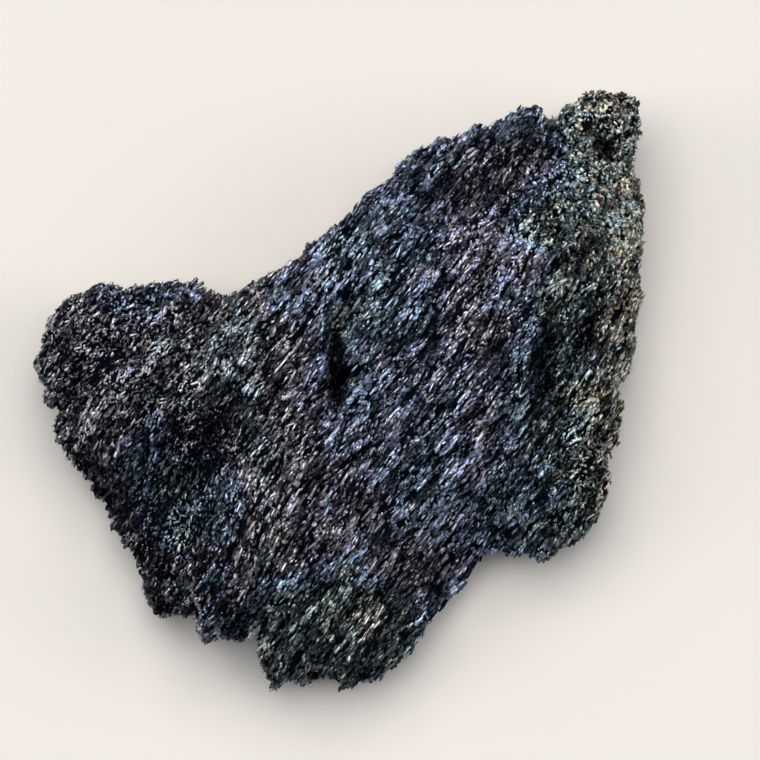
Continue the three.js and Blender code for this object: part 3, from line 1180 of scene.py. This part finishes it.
@dataclass(frozen=True)
class SoftBox:
    """A square studio light that faces the chunk.

    Angles are in degrees, the azimuth anticlockwise from +X as seen from above. Sizes are in metres.
    """

    name: str
    azimuth: float
    elevation: float
    side: float
    radiance: float
    colour: str
    distance: float = 12.0

    def build(self, target: Vector) -> None:
        """Hangs the light.

        Args:
            target: the point that it faces.
        """
        lamp = bpy.data.lights.new(self.name, "AREA")
        lamp.shape = "SQUARE"
        lamp.size = self.side
        lamp.energy = self.radiance * math.pi * self.side ** 2
        lamp.color = linear(self.colour)[:3]
        turn, tilt = math.radians(self.azimuth), math.radians(self.elevation)
        away = Vector((math.cos(turn) * math.cos(tilt), math.sin(turn) * math.cos(tilt), math.sin(tilt)))
        light = put_in_scene(self.name, lamp)
        light.location = target + away * self.distance
        light.rotation_euler = away.to_track_quat("Z", "Y").to_euler()


@dataclass(frozen=True)
class Studio:
    """A pale floor, three soft lights, the room round them, and the camera. Sizes are in metres.

    The room is pale at eye level and dark blue above. Each of its colours goes with a height, from 0 at eye
    level to 1 overhead. The far wall's brightness is a share of that of the bright wall across from it.
    """

    floor_radius: float = 8.0
    floor_sides: int = 96
    lens_distance: float = 1.4
    focus_height: float = 0.018
    view_width: float = 0.1368
    sensor: float = 36.0
    aim: tuple[float, float] = (0.00756, 0.00198)
    lights: tuple[SoftBox, ...] = (
        SoftBox("key_softbox", 100, 71, 9.6, 5.6, "fffaf5"),
        SoftBox("left_softbox", 172, 42, 6.6, 2.1, "fffaf2"),
        SoftBox("right_softbox", 6, 42, 6.6, 3.0, "fffaf2"),
    )
    room: tuple[tuple[float, str], ...] = (
        (0.0, "e4e2de"),
        (0.1, "bcc6d5"),
        (0.4, "546c93"),
        (0.7, "283e63"),
        (1.0, "162744"),
    )
    bright_wall: float = 115.0
    far_wall: float = 0.65

    def build(self) -> None:
        """Builds the floor, lights, room and camera."""
        self.lay_floor()
        target = Vector((0, 0, self.focus_height))
        for light in self.lights:
            light.build(target)
        self.light_room()
        self.place_camera()
        bpy.context.scene.view_settings.view_transform = "Standard"

    def lay_floor(self) -> None:
        """Lays a round floor at the height that the chunk rests on."""
        turns = np.linspace(0, 2 * math.pi, self.floor_sides, endpoint=False)
        rim = np.stack([np.cos(turns), np.sin(turns), turns * 0], 1) * self.floor_radius
        mesh = bpy.data.meshes.new("floor")
        mesh.from_pydata(rim.tolist(), [], [tuple(range(self.floor_sides))])
        mesh.materials.append(MattCard().material())
        floor = put_in_scene("floor", mesh)
        floor.location.z = CAD_BOX[0].z

    def light_room(self) -> None:
        """Lights the room: pale walls, dimmer on one side, that fade to a dark blue ceiling."""
        world = bpy.data.worlds.new("studio_room")
        bpy.context.scene.world = world
        world.use_nodes = True
        tree = world.node_tree
        tree.nodes.clear()
        where = add_node(tree, "ShaderNodeTexCoord")
        height = add_node(tree, "ShaderNodeSeparateXYZ", {}, {0: where.outputs["Generated"]})
        stops = [(level, linear(colour)) for level, colour in self.room]
        walls = add_node(tree, "ShaderNodeValToRGB", {"stops": stops}, {"Fac": height.outputs["Z"]})
        turn = math.radians(self.bright_wall)
        near = add_node(tree, "ShaderNodeVectorMath",
                        {"operation": "DOT_PRODUCT", 1: (math.cos(turn), math.sin(turn), 0.0)},
                        {0: where.outputs["Generated"]})
        swing = (1 - self.far_wall) / 2
        lit = add_node(tree, "ShaderNodeMath", {"operation": "MULTIPLY_ADD", 1: swing, 2: 1 - swing},
                       {0: near.outputs["Value"]})
        glow = add_node(tree, "ShaderNodeBackground", {},
                        {"Color": walls.outputs["Color"], "Strength": lit.outputs[0]})
        add_node(tree, "ShaderNodeOutputWorld", {}, {"Surface": glow.outputs[0]})

    def place_camera(self) -> None:
        """Puts the camera straight above the chunk, looking down, with +Y up."""
        data = bpy.data.cameras.new("camera")
        data.sensor_width = self.sensor
        data.lens = self.sensor * self.lens_distance / self.view_width
        camera = put_in_scene("camera", data)
        camera.location = (*self.aim, self.focus_height + self.lens_distance)
        bpy.context.scene.camera = camera


# ---------------------------------------------------------------- the chunk


GROWTH = Growth()
TARNISH = Tarnish(GROWTH)
CRUSTS = (
    Crust(
        Habit.BLADE, ROOF, strings=6000, links=4, seed=101, length=(1.4, 3.0), width=(0.48, 0.92),
        height=(0.36, 0.62), rise=(-0.2, 0.4), lift=0.1, yaw=9, roll=24, growth=GROWTH, tarnish=TARNISH,
    ),
    Crust(
        Habit.SPLINTER, NEEDLE, strings=8200, links=4, seed=102, length=(1.3, 2.6), width=(0.42, 0.76),
        height=(0.36, 0.6), rise=(0.0, 0.5), lift=0.12, yaw=10, roll=28, growth=GROWTH, tarnish=TARNISH,
        zones=(Zone(46, 30, 16, 0.5),),
    ),
    Crust(
        Habit.PLATE, HEXAGON, strings=6400, links=3, seed=103, length=(1.0, 1.8), width=(0.5, 0.9),
        height=(0.34, 0.56), rise=(0.0, 0.45), lift=0.14, yaw=12, roll=30, growth=GROWTH, tarnish=TARNISH,
        zones=(Zone(46, 25, 18, 1.3),),
    ),
    Crust(
        Habit.GRAIN, NEEDLE, strings=16400, links=2, seed=104, length=(0.6, 1.2), width=(0.38, 0.62),
        height=(0.34, 0.56), rise=(0.05, 0.55), lift=0.18, yaw=14, roll=42, growth=GROWTH, tarnish=TARNISH,
        zones=(Zone(-38, 4, 14, 0.4), Zone(46, 25, 18, 1.2)),
    ),
)


def main() -> None:
    """Builds the chunk and the studio."""
    logging.basicConfig(level=logging.INFO, format="%(name)s: %(message)s")
    core, skin = Core(GROWTH).build()
    LOG.info("%s: %d triangles, %d places to grow on", core.name, len(core.data.polygons), len(skin.points))
    finish = TarnishedCrystal().material()
    for crust in CRUSTS:
        piece = crust.build(skin)
        piece.data.materials.append(finish)
        LOG.info("%s: %d crystals, %d triangles", piece.name, crust.count, len(piece.data.polygons))
    Studio().build()


if __name__ == "__main__":
    main()
